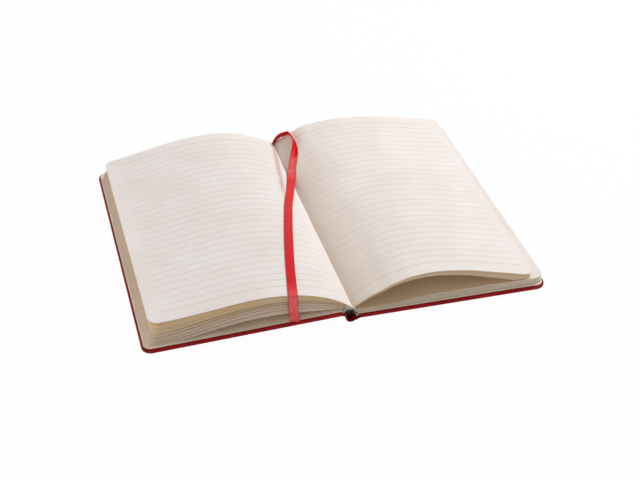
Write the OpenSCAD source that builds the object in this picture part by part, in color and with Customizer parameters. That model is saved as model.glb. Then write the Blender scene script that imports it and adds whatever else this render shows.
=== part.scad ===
// Hard-cover ruled notebook, lying open near its middle, with a ribbon marker.
// X runs across the spread, Y along the spine with the tail at -Y, and Z is up.
// The origin is on the table, in the middle of the open covers.

/* [Covers] */
// Width of a cover from its hinge to its fore edge
cover_w = 129; // [100:1:160]
// Height of a cover along the spine
cover_h = 210; // [150:1:260]
// Thickness of the stiff board inside a cover
board_t = 2.1; // [1.4:0.1:3]
// Thickness of the leatherette skin
skin_t = 0.3; // [0.25:0.05:0.5]
// Thickness of the endpaper pasted inside a cover
paper_t = 0.2; // [0.1:0.05:0.3]
// Corner radius of a cover
cover_r = 6.5; // [4:0.5:12]
// Rounding of the skin along the edges of a cover
edge_r = 0.8; // [0.3:0.1:0.9]
// Width of the skin folded over onto the inside of the board
turn_in = 14; // [8:1:20]
// Distance of the pasted endpaper from the edge of the cover
endpaper_inset = 1.3; // [0.8:0.1:3]
// Width of the flexible groove between the hinge and the board
groove_w = 1.2; // [0.8:0.1:3]

/* [Spine] */
// Outer radius of the skin curled under the spine
spine_r = 3.6; // [3.3:0.1:4.2]
// Sideways offset of the curl from the middle
spine_shift = -0.3; // [-0.6:0.1:0]
// Thickness of the card strip inside the curl
inlay_t = 0.3; // [0.2:0.05:0.4]
// Thickness of the gauze glued on the back of the pages
lining_t = 0.2; // [0.1:0.05:0.25]
// Length by which the curled skin stands out past the covers at head and tail
cap_out = 0.8; // [0:0.1:1.5]
// Distance of each hinge line from the middle
hinge_x = 4.2; // [4.2:0.1:6]
// Height of the front cover's underside at its hinge
front_hinge_h = 4.7; // [4.2:0.1:7]
// Height of the back cover's underside at its hinge
back_hinge_h = 1; // [0.6:0.1:1.6]

/* [Pages] */
// Distance of the pages from the edge of the covers at head and tail
head_square = 3; // [2:0.1:5]
// Distance of the front pile's longest leaves from the fore edge of their cover
fore_square = 2.5; // [2:0.1:6]
// Distance of the back pile's lower leaves from the fore edge of their cover
back_square = 0.8; // [0.5:0.1:6]
// Corner radius of the pages
page_r = 6.5; // [3:0.5:12]
// Sideways place of the gutter between the two open pages
gutter_x = 1.7; // [0.5:0.1:2.5]
// Height of the gutter above the table
gutter_h = 7.5; // [7:0.1:9]
// Height of the front pile's top leaf at the fore edge
front_edge_h = 17.5; // [14:0.5:22]
// Height by which the front pile's top leaf arches
front_arch = 15; // [8:0.5:20]
// Height by which the front pile lifts off its cover
front_lift = 6.9; // [3:0.1:9]
// Height of the back pile's top leaf, carried on to the fore edge
back_edge_h = 11.6; // [10:0.1:15]
// Height by which the back pile's top leaf arches
back_arch = 16.2; // [12:0.1:20]
// Thickness of the back pile's upper leaves next to the gutter
upper_t = 1.2; // [0.8:0.1:2]
// Growth in thickness of those leaves out to the fore edge
upper_fan = 5; // [2:0.5:6]
// Fore edge of the back pile's upper leaves, in from the lower leaves
upper_inset = 7; // [4:0.5:14]
// Thickness of the back pile's lower leaves
lower_t = 5.3; // [4:0.1:6.5]
// Open slit between two gathers of leaves
slit = 0.35; // [0.2:0.05:0.6]
// Fore edge of the front pile's top leaves, in from the longest leaves
fan_inset = 3; // [1:0.5:6]

/* [Bands] */
// Length of a band's cloth strip along the back of the pages
band_strip = 12; // [6:1:20]
// Width of the bead along a band's edge
bead_w = 1.3; // [0.8:0.1:1.8]
// Thickness of the bead past the pages
bead_t = 1; // [0.6:0.1:1.6]

/* [Ribbon] */
// Width of the ribbon marker
ribbon_w = 6; // [4:0.5:8]
// Thickness of the ribbon marker's solid
ribbon_t = 0.5; // [0.4:0.1:0.8]

/* [Hidden] */

$fn = 64;

// Clearance between two bodies at a hinge, and between pages and covers
hinge_gap = 0.15;
page_gap = 0.1;
// Hollow left between the card strip and what is glued on the pages
hollow = 0.1;
// Film of glue between the curled skin and the card strip
glue_t = 0.06;
// A cut runs this far past the face that it opens
past = 1;
// Height of a cutting solid, more than that of any pile of leaves
cut_h = 100;
// Depth of a band's top and of the gauze's top below the gutter
band_drop = 1.5;
gauze_drop = 2;

// Colours
wine_red = "#7a1216";
ribbon_red = "#e0282d";
cream = "#ebe6da";
board_grey = "#8c8577";
gauze_white = "#d8d6cf";
navy = "#15151f";

// Height of the pages, and reach of each pile's longest leaves from the middle
page_h = cover_h - 2 * head_square;
page_reach = hinge_x + cover_w - fore_square;
back_reach = hinge_x + cover_w - back_square;

// Thickness of a cover, without and with the endpaper
cover_t = board_t + 2 * skin_t;
lined_t = cover_t + paper_t;
// A rounding deeper than this would let the board's edge through the skin
edge_round = min(edge_r, 3.3 * skin_t);
front_tilt = asin(front_hinge_h / cover_w);
back_tilt = asin(back_hinge_h / cover_w);

// Radii of the layers in the spine, from the outside in
skin_r = spine_r - skin_t;
card_r = skin_r - glue_t;
back_r = card_r - inlay_t - hollow - lining_t;
back_wall = spine_shift - back_r;

// The bump of a bent pile of leaves from 0 to 1 and back to 0, as u runs from 0 to 1
function bump(u, rise, fall) =
    let (peak = rise / (rise + fall))
    pow(max(u, 0), rise) * pow(max(1 - u, 0), fall) / (pow(peak, rise) * pow(1 - peak, fall));

// Share of the way from the gutter to the front pile's fore edge, and as far on the back pile
function front_share(x) = min(1, max(0, (gutter_x - x) / (gutter_x + page_reach)));
function back_share(x) = min(1, max(0, (x - gutter_x) / (page_reach - gutter_x)));

// Height of a cover's lined inner face
function front_floor(x) = front_hinge_h - (-x - hinge_x) * tan(front_tilt) + lined_t / cos(front_tilt);
function back_floor(x) = back_hinge_h - (x - hinge_x) * tan(back_tilt) + lined_t / cos(back_tilt);

// Top and underside of the front pile, which lies on the left
function front_top(x) =
    let (t = front_share(x))
    gutter_h + (front_edge_h - gutter_h) * t + front_arch * bump(t, 0.885, 1.68);
lift_end = 0.82;
function front_under(x) =
    front_floor(x) + page_gap + front_lift * bump(front_share(x) / lift_end, 2.3, 2.3);

// Level of a slit that starts at a share of the front pile and slumps towards the fore edge
slump = 1;
function front_level(x, share) =
    front_under(x) + pow(share, 1 + slump * pow(front_share(x), 4)) * (front_top(x) - front_under(x));

// Top of the back pile, underside of its upper leaves and top of its lower leaves
function back_top(x) =
    let (t = back_share(x))
    gutter_h + (back_edge_h - gutter_h) * t + back_arch * bump(t, 0.866, 1.526);
function lower_top(x) =
    let (t = back_share(x), swell = pow(sin(90 * min(1, t / 0.45)), 5))
    back_floor(x) + page_gap + lower_t * (0.44 + 0.56 * swell) * (1 - 0.15 * pow(t, 4));
function upper_under(x) =
    max(back_top(x) - upper_t - upper_fan * back_share(x), lower_top(x) + slit / 2);

// Places along a pile where its section is sampled, closer together near the gutter
section_steps = 26;
front_start = back_wall;
back_start = 4;
function front_xs(reach) =
    [for (i = [0:section_steps]) front_start - (reach + front_start) * pow(i / section_steps, 1.6)];
function back_xs(reach) =
    [for (i = [0:section_steps]) back_start + (reach - back_start) * pow(i / section_steps, 1.6)];
function reversed(list) = [for (i = [len(list) - 1:-1:0]) list[i]];

// Shares of the front pile at which slits part its gathers of leaves
front_slits = [0, 0.2, 0.38, 0.54, 0.7, 1];

// The route of the ribbon: points on its middle line, for pages of this height, and the way
// its face looks there
route_h = 204;
ribbon_route = [
    [0.8, 102.4, gutter_h - band_drop], [0.8, 102.4, 9.5], [1.6, 102.6, 12.6], [4.2, 102, 15.8], [7.8, 100.8, 17.8],
    [10.6, 98, 18.4], [11.8, 93.5, 17.6], [11.6, 88, 16.7], [10.6, 82, 15.7], [8.8, 76, 14.7],
    [5.6, 68, 13], [2.6, 59, 12.6], [0, 50, 12.7], [-2.8, 40.5, 13.2], [-6.1, 29.2, 14.7],
    [-9.7, 17.4, 16.8], [-13.3, 5.5, 18.7], [-17, -8.9, 20.4], [-20.5, -23.3, 21.7],
    [-24.4, -39.9, 23.1], [-28.2, -56.6, 24.2], [-31.4, -71.5, 24.9], [-34.4, -86.5, 25.5],
    [-36.6, -98, 25.9], [-37.2, -101.9, 26.2], [-37.4, -103.1, 24.6], [-37.4, -103.2, 20],
    [-37.3, -103.6, 15], [-37.1, -104.6, 10.5], [-36.9, -106, 7.9]];
ribbon_face = [
    [0, 1, 0], [-0.1, 1, 0.1], [-0.6, 0.7, 0.4], [-0.4, 0.3, 0.9], [0, 0.1, 1],
    [0, 0.3, 1], [-0.25, 0.2, 0.95], [-0.4, 0.1, 0.9], [-0.5, 0, 0.87], [-0.5, 0, 0.87],
    [-0.4, 0, 0.9], [-0.1, 0, 1], [0.1, 0, 1], [0.3, 0, 0.95], [0.5, 0, 0.87],
    [0.47, 0, 0.88], [0.43, 0, 0.9], [0.39, 0, 0.92], [0.34, 0, 0.94],
    [0.29, 0, 0.96], [0.25, 0, 0.97], [0.21, 0, 0.98], [0.17, 0, 0.98],
    [0.15, 0, 0.99], [0.1, -0.3, 0.95], [0, -1, 0.6], [0, -1, 0.05],
    [0, -1, -0.1], [0, -1, -0.3], [0, -1, -0.4]];

// Outline of a cover in its own frame: square at the hinge side, round at the fore edge
corner_steps = 8;
function cover_outline(x0, inset) =
    let (r = cover_r - inset, cx = cover_w - cover_r, cy = cover_h / 2 - cover_r)
    concat(
        [[x0, -cover_h / 2 + inset]],
        [for (i = [0:corner_steps]) let (a = -90 + 90 * i / corner_steps) [cx + r * cos(a), -cy + r * sin(a)]],
        [for (i = [0:corner_steps]) let (a = 90 * i / corner_steps) [cx + r * cos(a), cy + r * sin(a)]],
        [[x0, cover_h / 2 - inset]]);

// A cover is drawn with its hinge line on Y at the height of its underside, reaching to +X
module on_back_hinge() {
    translate([hinge_x, 0, back_hinge_h])
        rotate([0, back_tilt, 0])
            children();
}

module on_front_hinge() {
    mirror([1, 0, 0])
        translate([hinge_x, 0, front_hinge_h])
            rotate([0, front_tilt, 0])
                children();
}

// The stiff board fills the space inside the skin
module board() {
    translate([0, 0, skin_t])
        linear_extrude(board_t)
            polygon(cover_outline(groove_w, skin_t));
}

// Solid in the outer form of a skinned cover, with its free edges rounded
round_steps = 4;
module cover_form() {
    hull()
        for (side = [0, 1], i = [0:round_steps]) {
            a = 90 * i / round_steps;
            level = edge_round * (1 - sin(a));
            translate([0, 0, side == 0 ? level : cover_t - level - 0.01])
                linear_extrude(0.01)
                    polygon(cover_outline(hinge_gap, edge_round * (1 - cos(a))));
        }
}

// The skin goes round the board and is folded over on its inside, with a window in the middle
module skin() {
    difference() {
        cover_form();
        board();
        translate([groove_w, -cover_h / 2 + turn_in, skin_t + board_t])
            cube([cover_w - groove_w - turn_in, cover_h - 2 * turn_in, skin_t + past]);
        translate([0, -cover_h / 2 - past, 2 * skin_t])
            cube([groove_w, cover_h + 2 * past, cover_t]);
        translate([0, -cover_h / 2 + turn_in, skin_t])
            cube([groove_w, cover_h - 2 * turn_in, cover_t]);
    }
}

// The endpaper lies on the fold-over and fills the window level, and dips into the groove
module pasted_endpaper() {
    lined_h = cover_h - 2 * endpaper_inset;
    window_h = cover_h - 2 * turn_in;
    translate([0, 0, cover_t])
        linear_extrude(paper_t)
            polygon(cover_outline(groove_w - paper_t, endpaper_inset));
    translate([groove_w, -window_h / 2, skin_t + board_t])
        cube([cover_w - groove_w - turn_in, window_h, lined_t - skin_t - board_t]);
    translate([groove_w - paper_t, -lined_h / 2, 2 * skin_t])
        cube([paper_t, lined_h, lined_t - 2 * skin_t]);
    translate([hinge_gap, -lined_h / 2, 2 * skin_t])
        cube([groove_w - hinge_gap, lined_h, paper_t]);
    translate([hinge_gap, -window_h / 2, skin_t])
        cube([groove_w - hinge_gap, window_h, skin_t + paper_t]);
}

module front_board() {
    color(board_grey) on_front_hinge() board();
}

module front_leatherette() {
    color(wine_red) on_front_hinge() skin();
}

module front_endpaper() {
    color(cream) on_front_hinge() pasted_endpaper();
}

module back_board() {
    color(board_grey) on_back_hinge() board();
}

module back_leatherette() {
    color(wine_red) on_back_hinge() skin();
}

module back_endpaper() {
    color(cream) on_back_hinge() pasted_endpaper();
}

// Extrudes a section drawn in X and Z along the spine, from y0 over a length
module along_spine(y0, length) {
    translate([0, y0 + length, 0])
        rotate([90, 0, 0])
            linear_extrude(length)
                children();
}

// Part of a ring about the spine's centre that lies below a level
module spine_ring(r_out, r_in) {
    translate([spine_shift, spine_r])
        difference() {
            circle(r_out);
            circle(r_in);
            translate([-r_out - past, 0])
                square([2 * (r_out + past), r_out + past]);
        }
}

// The skin of the spine curls down in a U from the front hinge to the back hinge
module spine_leatherette() {
    flare_top = back_hinge_h + skin_t;
    flare_x = sqrt(pow(skin_r, 2) - pow(spine_r - back_hinge_h, 2)) + spine_shift;
    color(wine_red)
        along_spine(-cover_h / 2 - cap_out, cover_h + 2 * cap_out) {
            difference() {
                spine_ring(spine_r, skin_r);
                translate([spine_shift, flare_top])
                    square([spine_r + past, spine_r]);
            }
            translate([spine_shift - spine_r, spine_r])
                square([skin_t, front_hinge_h - spine_r]);
            translate([flare_x, back_hinge_h])
                square([hinge_x - hinge_gap - flare_x, skin_t]);
        }
}

// Card strip glued inside the curl, up to where the skin turns out to the back hinge
module spine_card() {
    color(board_grey)
        along_spine(-cover_h / 2 + turn_in, cover_h - 2 * turn_in)
            difference() {
                spine_ring(card_r, card_r - inlay_t);
                translate([spine_shift, back_hinge_h])
                    square([spine_r + past, spine_r]);
            }
}

// Gauze glued round the back of the pages, between the two bands
module spine_gauze() {
    length = page_h - 2 * band_strip;
    color(gauze_white)
        along_spine(-length / 2, length) {
            spine_ring(back_r + lining_t, back_r);
            translate([back_wall - lining_t, spine_r])
                square([lining_t, gutter_h - gauze_drop - spine_r]);
        }
}

// Plan of a gather of leaves with its fore-edge corners rounded
module leaf_plan(reach) {
    translate([0, -page_h / 2])
        square([reach - page_r, page_h]);
    translate([0, -page_h / 2 + page_r])
        square([reach, page_h - 2 * page_r]);
    for (side = [-1, 1])
        translate([reach - page_r, side * (page_h / 2 - page_r)])
            circle(page_r);
}

// Cuts the children to a gather's plan, with the fore edge leaning inwards as it rises
module trim_fore_edge(reach, lean, pivot_h) {
    intersection() {
        children();
        translate([reach, 0, pivot_h])
            rotate([0, -lean, 0])
                translate([-reach, 0, -cut_h / 2])
                    linear_extrude(cut_h)
                        leaf_plan(reach);
    }
}

// One gather of the front pile, between two shares of its height
module front_gather(i) {
    low = front_slits[i];
    high = front_slits[i + 1];
    reach = page_reach - fan_inset * pow(low, 0.7) - (i == len(front_slits) - 2 ? 1 : 0);
    xs = front_xs(page_reach);
    open_low = low == 0 ? 0 : slit / 2;
    open_high = high == 1 ? 0 : slit / 2;
    mirror([1, 0, 0])
        trim_fore_edge(reach, 8, front_level(-reach, low))
            mirror([1, 0, 0])
                along_spine(-page_h / 2, page_h)
                    polygon(concat(
                        [for (x = xs) [x, front_level(x, low) + open_low]],
                        [for (x = reversed(xs)) [x, front_level(x, high) - open_high]]));
}

// Upper leaves of the back pile, which arch over a hollow
module back_upper_leaves() {
    reach = back_reach - upper_inset;
    xs = back_xs(reach);
    trim_fore_edge(reach, 0, 0)
        along_spine(-page_h / 2, page_h)
            polygon(concat(
                [for (x = xs) [x, upper_under(x)]],
                [for (x = reversed(xs)) [x, back_top(x)]]));
}

// Lower leaves of the back pile, which lie on the cover
module back_lower_leaves() {
    xs = back_xs(back_reach);
    trim_fore_edge(back_reach, 6, back_floor(back_reach))
        along_spine(-page_h / 2, page_h)
            polygon(concat(
                [for (x = xs) [x, back_floor(x) + page_gap]],
                [for (x = reversed(xs)) [x, lower_top(x)]]));
}

// Glued back of the pages, up to the gutter, where all the gathers meet
module glued_back() {
    overlap = 1;
    front_x = front_start - overlap;
    back_x = back_start + overlap;
    steps = 6;
    along_spine(-page_h / 2, page_h)
        polygon(concat(
            [for (a = [0:-15:-180]) [spine_shift + back_r * cos(a), spine_r + back_r * sin(a)]],
            [[front_start, front_under(front_start)], [front_x, front_under(front_x)]],
            [for (i = [0:steps]) let (x = front_x + (gutter_x - front_x) * i / steps) [x, front_top(x)]],
            [for (i = [1:steps]) let (x = gutter_x + (back_x - gutter_x) * i / steps) [x, back_top(x)]],
            [[back_x, back_floor(back_x) + page_gap], [back_start - 0.6, back_floor(back_start) + page_gap]]));
}

// All the pages, fanned out in two arched piles that share one glued back
module page_block() {
    color(cream) {
        glued_back();
        for (i = [0:len(front_slits) - 2])
            front_gather(i);
        back_upper_leaves();
        back_lower_leaves();
    }
}

// A cloth band: a strip round the back of the pages, and a bead across their ends
module band(end) {
    mirror([0, end < 0 ? 0 : 1, 0]) {
        along_spine(-page_h / 2, band_strip - past)
            spine_ring(back_r + lining_t, back_r);
        along_spine(-page_h / 2 - bead_t, bead_t) {
            spine_ring(back_r + lining_t, back_r + lining_t - bead_w);
            for (x = [back_wall - lining_t, spine_shift + back_r + lining_t - bead_w])
                translate([x, spine_r])
                    square([bead_w, gutter_h - band_drop - spine_r]);
        }
    }
}

module head_band() {
    color(navy) band(1);
}

module tail_band() {
    color(navy) band(-1);
}

// Ring of a flat strip about a point of its route
ring_sides = 8;
function unit(v) = v / norm(v);
function strip_ring(p, along, face) =
    let (
        across = unit(cross(along, face)),
        up = unit(cross(across, along)),
        half_w = ribbon_w / 2,
        half_t = ribbon_t / 2,
        lip = half_t / 2
    )
    [for (q = [[-half_w, -lip], [lip - half_w, -half_t], [half_w - lip, -half_t], [half_w, -lip],
            [half_w, lip], [half_w - lip, half_t], [lip - half_w, half_t], [-half_w, lip]])
        p + across * q[0] + up * q[1]];

// The ribbon marker rises at the head of the gutter, lies down the front pages and hangs over
// their tail edge
module ribbon_marker() {
    last = len(ribbon_route) - 1;
    route = [for (p = ribbon_route) [p[0], p[1] * page_h / route_h, p[2]]];
    rings = [for (i = [0:last])
        strip_ring(route[i], unit(route[min(i + 1, last)] - route[max(i - 1, 0)]), ribbon_face[i])];
    points = [for (ring = rings) each ring];
    // Both faces of the strip fold along the same diagonals, so that a twist leaves it its thickness
    sides = [for (i = [0:last - 1], j = [0:ring_sides - 1])
        let (k = (j + 1) % ring_sides, a = i * ring_sides, b = a + ring_sides)
        each j < ring_sides / 2
            ? [[a + j, a + k, b + j], [a + k, b + k, b + j]]
            : [[a + j, a + k, b + k], [a + j, b + k, b + j]]];
    start_cap = [for (j = [1:ring_sides - 2]) [0, j + 1, j]];
    end_cap = [for (j = [1:ring_sides - 2]) [for (k = [0, j, j + 1]) last * ring_sides + k]];
    color(ribbon_red)
        polyhedron(points, concat(sides, start_cap, end_cap));
}

front_board();
front_leatherette();
front_endpaper();
back_board();
back_leatherette();
back_endpaper();
spine_leatherette();
spine_card();
spine_gauze();
page_block();
head_band();
tail_band();
ribbon_marker();
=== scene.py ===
"""Open hard-cover ruled notebook with a ribbon marker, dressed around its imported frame.

Lengths in the classes are in millimetres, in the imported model's frame: X across the spread,
Y along the spine with the tail at -Y, Z up. They become metres where a mesh is made. Only the
studio's camera, lamps and floor are given in metres.
"""

import logging
import math
from collections.abc import Callable, Iterable, Sequence
from dataclasses import dataclass, field
from enum import Enum

import bmesh
import bpy
from mathutils import Matrix, Vector
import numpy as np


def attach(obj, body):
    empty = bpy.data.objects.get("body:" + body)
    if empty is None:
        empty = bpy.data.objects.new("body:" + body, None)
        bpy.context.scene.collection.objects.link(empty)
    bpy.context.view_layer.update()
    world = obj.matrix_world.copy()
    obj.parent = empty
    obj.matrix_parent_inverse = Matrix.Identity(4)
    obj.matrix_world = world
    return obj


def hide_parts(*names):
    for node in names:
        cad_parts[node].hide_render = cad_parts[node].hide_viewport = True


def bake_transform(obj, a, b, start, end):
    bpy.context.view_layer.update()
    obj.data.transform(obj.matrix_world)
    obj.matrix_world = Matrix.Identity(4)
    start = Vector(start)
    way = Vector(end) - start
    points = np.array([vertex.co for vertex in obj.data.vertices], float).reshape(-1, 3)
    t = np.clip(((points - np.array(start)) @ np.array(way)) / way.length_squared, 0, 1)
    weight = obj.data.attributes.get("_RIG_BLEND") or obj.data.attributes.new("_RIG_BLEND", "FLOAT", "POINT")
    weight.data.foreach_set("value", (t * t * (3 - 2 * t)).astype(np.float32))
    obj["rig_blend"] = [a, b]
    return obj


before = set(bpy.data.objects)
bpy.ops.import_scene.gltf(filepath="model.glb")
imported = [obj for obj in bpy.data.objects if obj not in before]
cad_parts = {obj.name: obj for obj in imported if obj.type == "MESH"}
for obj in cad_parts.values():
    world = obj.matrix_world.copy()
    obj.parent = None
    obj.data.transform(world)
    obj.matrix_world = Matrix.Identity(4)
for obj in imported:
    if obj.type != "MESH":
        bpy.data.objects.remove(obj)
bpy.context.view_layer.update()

LOG = logging.getLogger("notebook")
MM = 0.001

Colour = tuple[float, float, float]

# A surface: its point in millimetres at two shares, u and v, from 0 to 1.
Place = Callable[[float, float], Vector]


class Body(Enum):
    """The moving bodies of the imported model."""

    BLOCK = "book_block"
    FRONT = "front_cover"
    BACK = "back_cover"


class Kind(Enum):
    """What a face of a slab is: its top, its underside or a side wall."""

    TOP = 0
    UNDER = 1
    WALL = 2


def srgb(red: float, green: float, blue: float) -> Colour:
    """Turns a screen colour into the linear one that a shader takes.

    Args:
        red: Red, from 0 to 255.
        green: Green, from 0 to 255.
        blue: Blue, from 0 to 255.

    Returns:
        The linear colour.
    """
    def linear(value: float) -> float:
        """One channel, from 0 to 255, made linear."""
        share = value / 255
        return share / 12.92 if share <= 0.04045 else ((share + 0.055) / 1.055) ** 2.4

    return linear(red), linear(green), linear(blue)


def mix(a: float, b: float, share: float) -> float:
    """The number that lies at a share of the way from a to b."""
    return a + (b - a) * share


def smooth(share: float) -> float:
    """Eases a share from 0 to 1 in and out."""
    share = min(1.0, max(0.0, share))
    return share * share * (3 - 2 * share)


def spline(points: Sequence[Sequence[float]], share: float) -> Vector:
    """A point on the smooth line through some points.

    Args:
        points: The points, evenly far apart in share.
        share: How far along the line, from 0 to 1.

    Returns:
        The point.
    """
    place = min(max(share, 0.0), 1.0) * (len(points) - 1)
    first = min(int(place), len(points) - 2)
    t = place - first
    p0, p1, p2, p3 = (Vector(points[min(max(first + k, 0), len(points) - 1)]) for k in (-1, 0, 1, 2))
    return 0.5 * (2 * p1 + (p2 - p0) * t + (2 * p0 - 5 * p1 + 4 * p2 - p3) * t ** 2
                  + (3 * p1 - p0 - 3 * p2 + p3) * t ** 3)


def stepped(pairs: Sequence[tuple[float, float]], x: float) -> float:
    """Reads a smooth curve through pairs of a place and a value.

    Args:
        pairs: The pairs, by rising place.
        x: The place to read.

    Returns:
        The value there.
    """
    if x <= pairs[0][0]:
        return pairs[0][1]
    for (x0, v0), (x1, v1) in zip(pairs, pairs[1:]):
        if x <= x1:
            return mix(v0, v1, smooth((x - x0) / (x1 - x0)))
    return pairs[-1][1]


def bent(line: Sequence[Sequence[float]], depth: float, y0: float, y1: float, step: float) -> Place:
    """A face of a sheet that is bent along a line in X and Z.

    Args:
        line: The line's points, with Y at 0.
        depth: How far the face lies from the line, to the left of its way.
        y0: Where the sheet starts along the spine.
        y1: Where it ends along the spine.
        step: Share of the line over which its way is measured.

    Returns:
        The face, as a place by two shares.
    """
    def at(u: float, v: float) -> Vector:
        """A point of that face."""
        ahead = (spline(line, u + step) - spline(line, u - step)).normalized()
        point = spline(line, u) + Vector((-ahead.z, 0, ahead.x)) * depth
        return Vector((point.x, mix(y0, y1, v), point.z))
    return at


def faces_at(points: Iterable[bmesh.types.BMVert]) -> list[bmesh.types.BMFace]:
    """The faces at some points, each once."""
    return list(dict.fromkeys(f for v in points for f in v.link_faces))


def edges_at(points: Iterable[bmesh.types.BMVert]) -> list[bmesh.types.BMEdge]:
    """The edges at some points, each once."""
    return list(dict.fromkeys(e for v in points for e in v.link_edges))


class Graph:
    """The node tree of a material or a world, with short ways to add nodes and join them."""

    def __init__(self, owner: bpy.types.Material | bpy.types.World) -> None:
        """Empties the owner's node tree."""
        self.owner = owner
        owner.use_nodes = True
        self.tree = owner.node_tree
        self.tree.nodes.clear()

    def add(self, kind: str, inputs: dict | None = None, **settings: object) -> bpy.types.Node:
        """Adds a node.

        Args:
            kind: The node's type name.
            inputs: Values or sockets by input name or number.
            settings: The node's own properties.

        Returns:
            The node.
        """
        node = self.tree.nodes.new(kind)
        for key, value in settings.items():
            setattr(node, key, value)
        for key, value in (inputs or {}).items():
            self.feed(node.inputs[key], value)
        return node

    def feed(self, socket: bpy.types.NodeSocket, value: object) -> None:
        """Links a socket, or sets its value, with a colour given its alpha.

        Args:
            socket: The socket to feed.
            value: Another socket, or a value.
        """
        if isinstance(value, bpy.types.NodeSocket):
            self.tree.links.new(value, socket)
        elif isinstance(value, tuple) and len(value) == 3 and socket.type == "RGBA":
            socket.default_value = (*value, 1)
        else:
            socket.default_value = value

    def math(self, operation: str, a: object, b: object = 0.0) -> bpy.types.NodeSocket:
        """The result of a Math node on two values or sockets."""
        return self.add("ShaderNodeMath", {0: a, 1: b}, operation=operation).outputs[0]

    def blend(self, amount: object, a: object, b: object) -> bpy.types.NodeSocket:
        """The colour that lies between two colours.

        Args:
            amount: How far it lies towards the second colour, from 0 to 1.
            a: The first colour.
            b: The second colour.

        Returns:
            The colour's socket.
        """
        node = self.add("ShaderNodeMix", data_type="RGBA")
        for socket, value in zip((node.inputs[0], node.inputs[6], node.inputs[7]), (amount, a, b)):
            self.feed(socket, value)
        return node.outputs[2]

    def remap(self, value: object, low: float, high: float, to_low: float = 0, to_high: float = 1,
              eased: bool = False) -> bpy.types.NodeSocket:
        """A value moved from one range to another, held at its ends."""
        return self.add("ShaderNodeMapRange", {0: value, 1: low, 2: high, 3: to_low, 4: to_high},
                        interpolation_type="SMOOTHSTEP" if eased else "LINEAR").outputs[0]

    def spread(self, noise: object, low: float = 0, high: float = 1) -> bpy.types.NodeSocket:
        """A noise, which mostly lies between 0.3 and 0.7, spread over a range."""
        return self.remap(noise, 0.3, 0.7, low, high)

    def place(self) -> bpy.types.NodeSocket:
        """The point on the piece, in metres."""
        return self.add("ShaderNodeTexCoord").outputs["Object"]

    def axes(self, vector: object) -> tuple[bpy.types.NodeSocket, ...]:
        """The three parts of a vector."""
        return tuple(self.add("ShaderNodeSeparateXYZ", {0: vector}).outputs)

    def stretched(self, vector: object, scale: Colour) -> bpy.types.NodeSocket:
        """A point scaled along each axis."""
        return self.add("ShaderNodeMapping", {"Vector": vector, "Scale": scale}).outputs[0]

    def noise(self, vector: object, scale: float, detail: float = 2.0,
              roughness: float = 0.5) -> bpy.types.NodeSocket:
        """A soft noise from 0 to 1 at a point."""
        return self.add("ShaderNodeTexNoise", {"Vector": vector, "Scale": scale, "Detail": detail,
                                               "Roughness": roughness}).outputs[0]

    def attribute(self, name: str) -> bpy.types.NodeSocket:
        """A number that the mesh holds for each of its points."""
        return self.add("ShaderNodeAttribute", attribute_name=name).outputs["Fac"]

    def bump(self, height: object, strength: float, distance: float,
             normal: object = None) -> bpy.types.NodeSocket:
        """A normal tilted by a height.

        Args:
            height: The height.
            strength: The tilt's strength, from 0 to 1.
            distance: What a height of 1 stands for, in metres.
            normal: The normal to tilt, or None for the surface's own.

        Returns:
            The normal's socket.
        """
        inputs = {"Height": height, "Strength": strength, "Distance": distance}
        if normal is not None:
            inputs["Normal"] = normal
        return self.add("ShaderNodeBump", inputs).outputs[0]

    def seen(self) -> bpy.types.NodeSocket:
        """Tells the camera's rays, also reflected ones and those let through, from light's.

        Returns:
            A socket of 1 for the camera's rays and 0 for others.
        """
        path = self.add("ShaderNodeLightPath").outputs
        direct = self.math("MAXIMUM", path["Is Camera Ray"], path["Is Glossy Ray"])
        return self.math("MAXIMUM", direct, path["Is Transmission Ray"])

    def finish(self, inputs: dict) -> bpy.types.Material:
        """Ends the tree with a Principled shader.

        Args:
            inputs: Values or sockets by the shader's input names.

        Returns:
            The material.
        """
        shader = self.add("ShaderNodeBsdfPrincipled", inputs)
        output = self.add("ShaderNodeOutputMaterial", {"Surface": shader.outputs[0]})
        output.is_active_output = True
        return self.owner


@dataclass(frozen=True)
class Leatherette:
    """Embossed leatherette over board: pebble grain, a soft sheen, and a painted highlight on its rounded
    edges.
    """

    name: str = "wine_leatherette"
    colour: Colour = srgb(138, 6, 11)
    deep: Colour = srgb(108, 3, 8)
    edge_highlight: Colour = srgb(196, 22, 30)
    grain: float = 0.75
    rough: tuple[float, float] = (0.46, 0.56)
    gloss: float = 0.14

    def build(self) -> bpy.types.Material:
        """Makes the material.

        Returns:
            The material.
        """
        g = Graph(bpy.data.materials.new(self.name))
        place = g.place()
        pebble = {"Vector": place, "Scale": 1 / (self.grain * MM), "Smoothness": 0.6}
        pebbles = g.add("ShaderNodeTexVoronoi", pebble, feature="SMOOTH_F1").outputs["Distance"]
        fine = g.noise(place, 2600, 3)
        broad = g.noise(place, 60, 4)
        # Painted highlight: brighter red where the mesh marks rounded edges, broken up by noise.
        worn = g.math("MULTIPLY", g.attribute("rub"), g.remap(g.noise(place, 240, 3), 0.35, 0.65, 0.35, 1))
        tone = g.blend(g.spread(broad), self.deep, self.colour)
        # Painted shade: the hollows between the pebbles are drawn darker.
        tone = g.blend(g.remap(pebbles, 0.25, 0.75, 0, 0.3), tone, self.deep)
        tone = g.blend(g.math("MULTIPLY", worn, 0.6), tone, self.edge_highlight)
        height = g.math("ADD", g.math("MULTIPLY", pebbles, -1), g.math("MULTIPLY", fine, 0.25))
        return g.finish({
            "Base Color": tone, "Roughness": g.spread(broad, *self.rough), "Specular IOR Level": self.gloss,
            "Normal": g.bump(height, 0.35, 0.00008)})


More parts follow.
